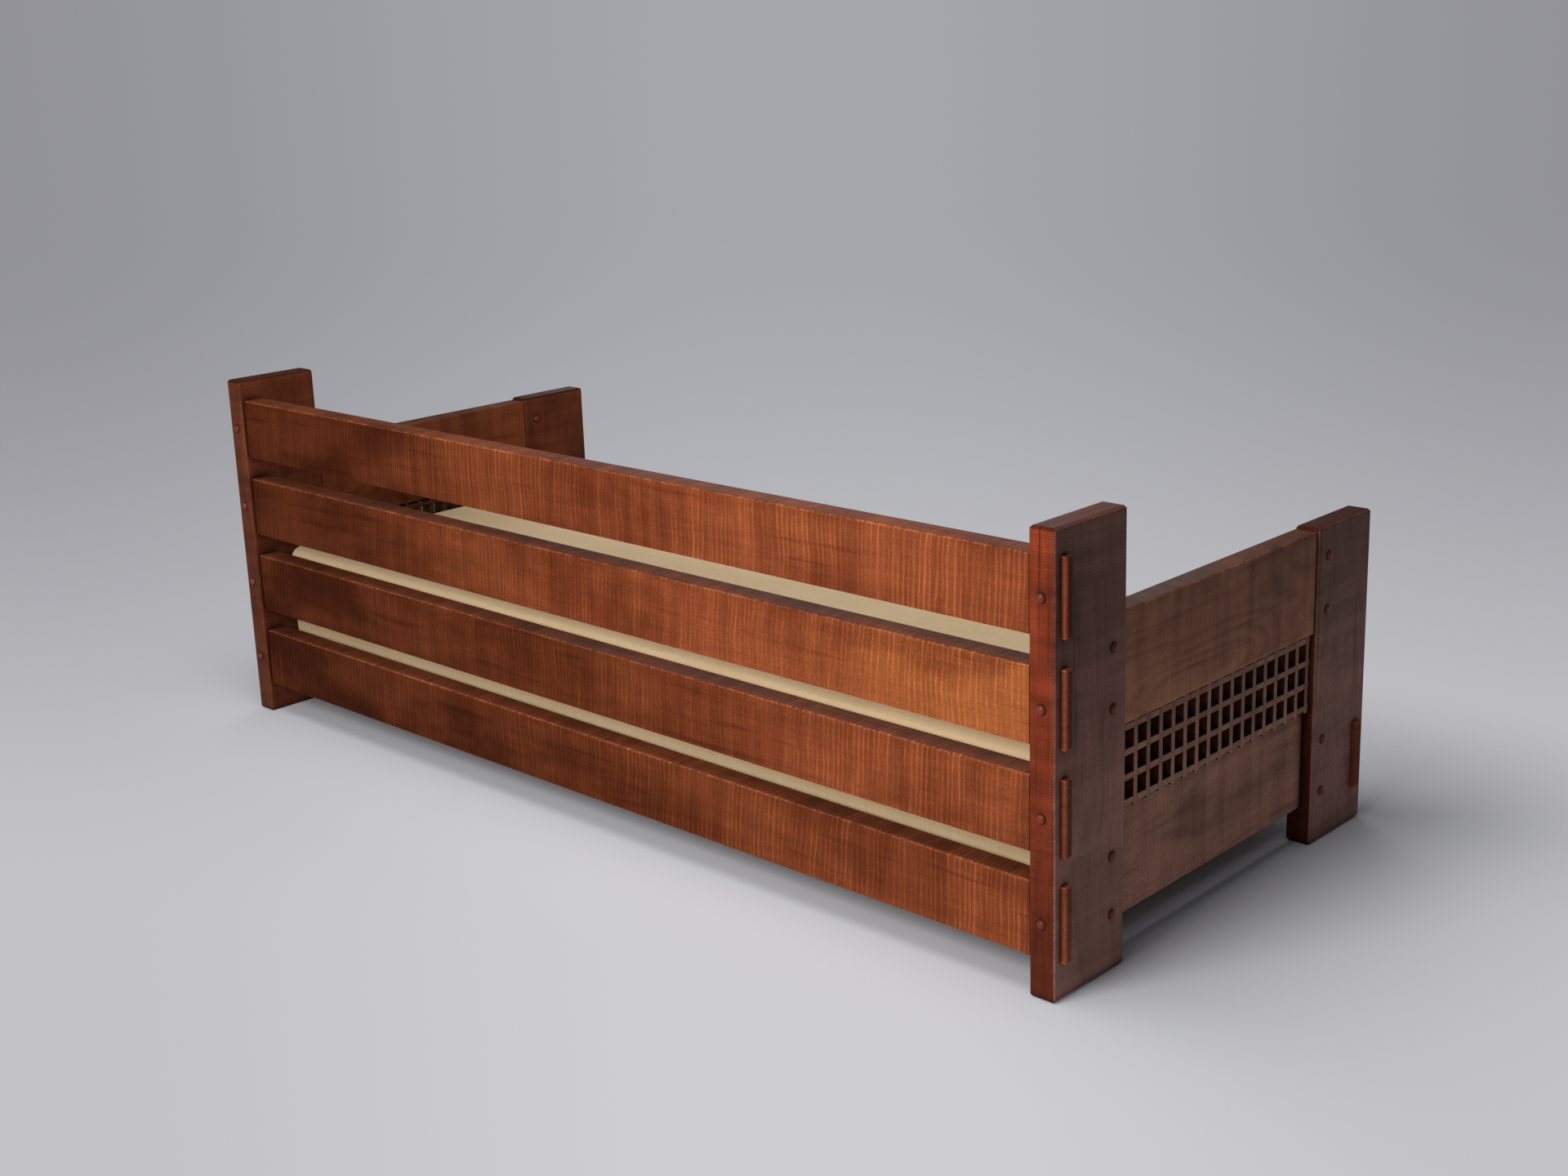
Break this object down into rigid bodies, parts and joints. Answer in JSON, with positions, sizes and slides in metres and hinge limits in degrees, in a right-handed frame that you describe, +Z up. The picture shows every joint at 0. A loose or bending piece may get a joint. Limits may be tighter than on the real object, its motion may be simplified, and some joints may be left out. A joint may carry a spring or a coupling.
{
  "type": "sofa",
  "caption": "Long hardwood sofa with board posts, slatted back on pegged through tenons, lattice arms and a loose seat cushion on slats.",
  "frame": {"origin": "on the floor, under the middle of the sofa's outline", "axes": "+X along the seat towards the sitter's left, the sitter faces -Y, +Z up"},
  "size_m": [2.12, 0.925, 0.715],
  "materials": {
    "figured_hardwood": "satin",
    "lattice_wood": "satin",
    "peg_wood": "satin",
    "seat_wood": "matte",
    "canvas": "matte",
    "padding": "matte"
  },
  "bodies": {
    "frame": {"rear_post_right": "figured_hardwood", "rear_post_left": "figured_hardwood", "front_post_right": "figured_hardwood", "front_post_left": "figured_hardwood", "back_rail_1": "figured_hardwood", "back_rail_2": "figured_hardwood", "back_rail_3": "figured_hardwood", "back_rail_4": "figured_hardwood", "front_rail": "figured_hardwood", "arm_top_board_right": "figured_hardwood", "arm_top_board_left": "figured_hardwood", "arm_low_board_right": "figured_hardwood", "arm_low_board_left": "figured_hardwood", "lattice_uprights_right": "lattice_wood", "lattice_uprights_left": "lattice_wood", "lattice_strips_right": "lattice_wood", "lattice_strips_left": "lattice_wood", "back_rail_pegs": "peg_wood", "front_rail_pegs": "peg_wood", "arm_top_pegs_right": "peg_wood", "arm_top_pegs_left": "peg_wood", "arm_low_pegs_right": "peg_wood", "arm_low_pegs_left": "peg_wood", "seat_ledger_front": "seat_wood", "seat_ledger_rear": "seat_wood", "ledger_pegs_front": "seat_wood", "ledger_pegs_rear": "seat_wood", "seat_slat_01": "seat_wood", "seat_slat_02": "seat_wood", "seat_slat_03": "seat_wood", "seat_slat_04": "seat_wood", "seat_slat_05": "seat_wood", "seat_slat_06": "seat_wood", "seat_slat_07": "seat_wood", "seat_slat_08": "seat_wood", "seat_slat_09": "seat_wood", "seat_slat_10": "seat_wood", "seat_slat_11": "seat_wood", "seat_slat_12": "seat_wood", "seat_slat_13": "seat_wood"},
    "seat": {"seat_cover": "canvas", "seat_filling": "padding"}
  },
  "joints": [
    {"name": "seat_lift", "type": "slide", "parent": "frame", "child": "seat", "axis": [0, 0, 1], "range_m": [0, 0.6]}
  ]
}
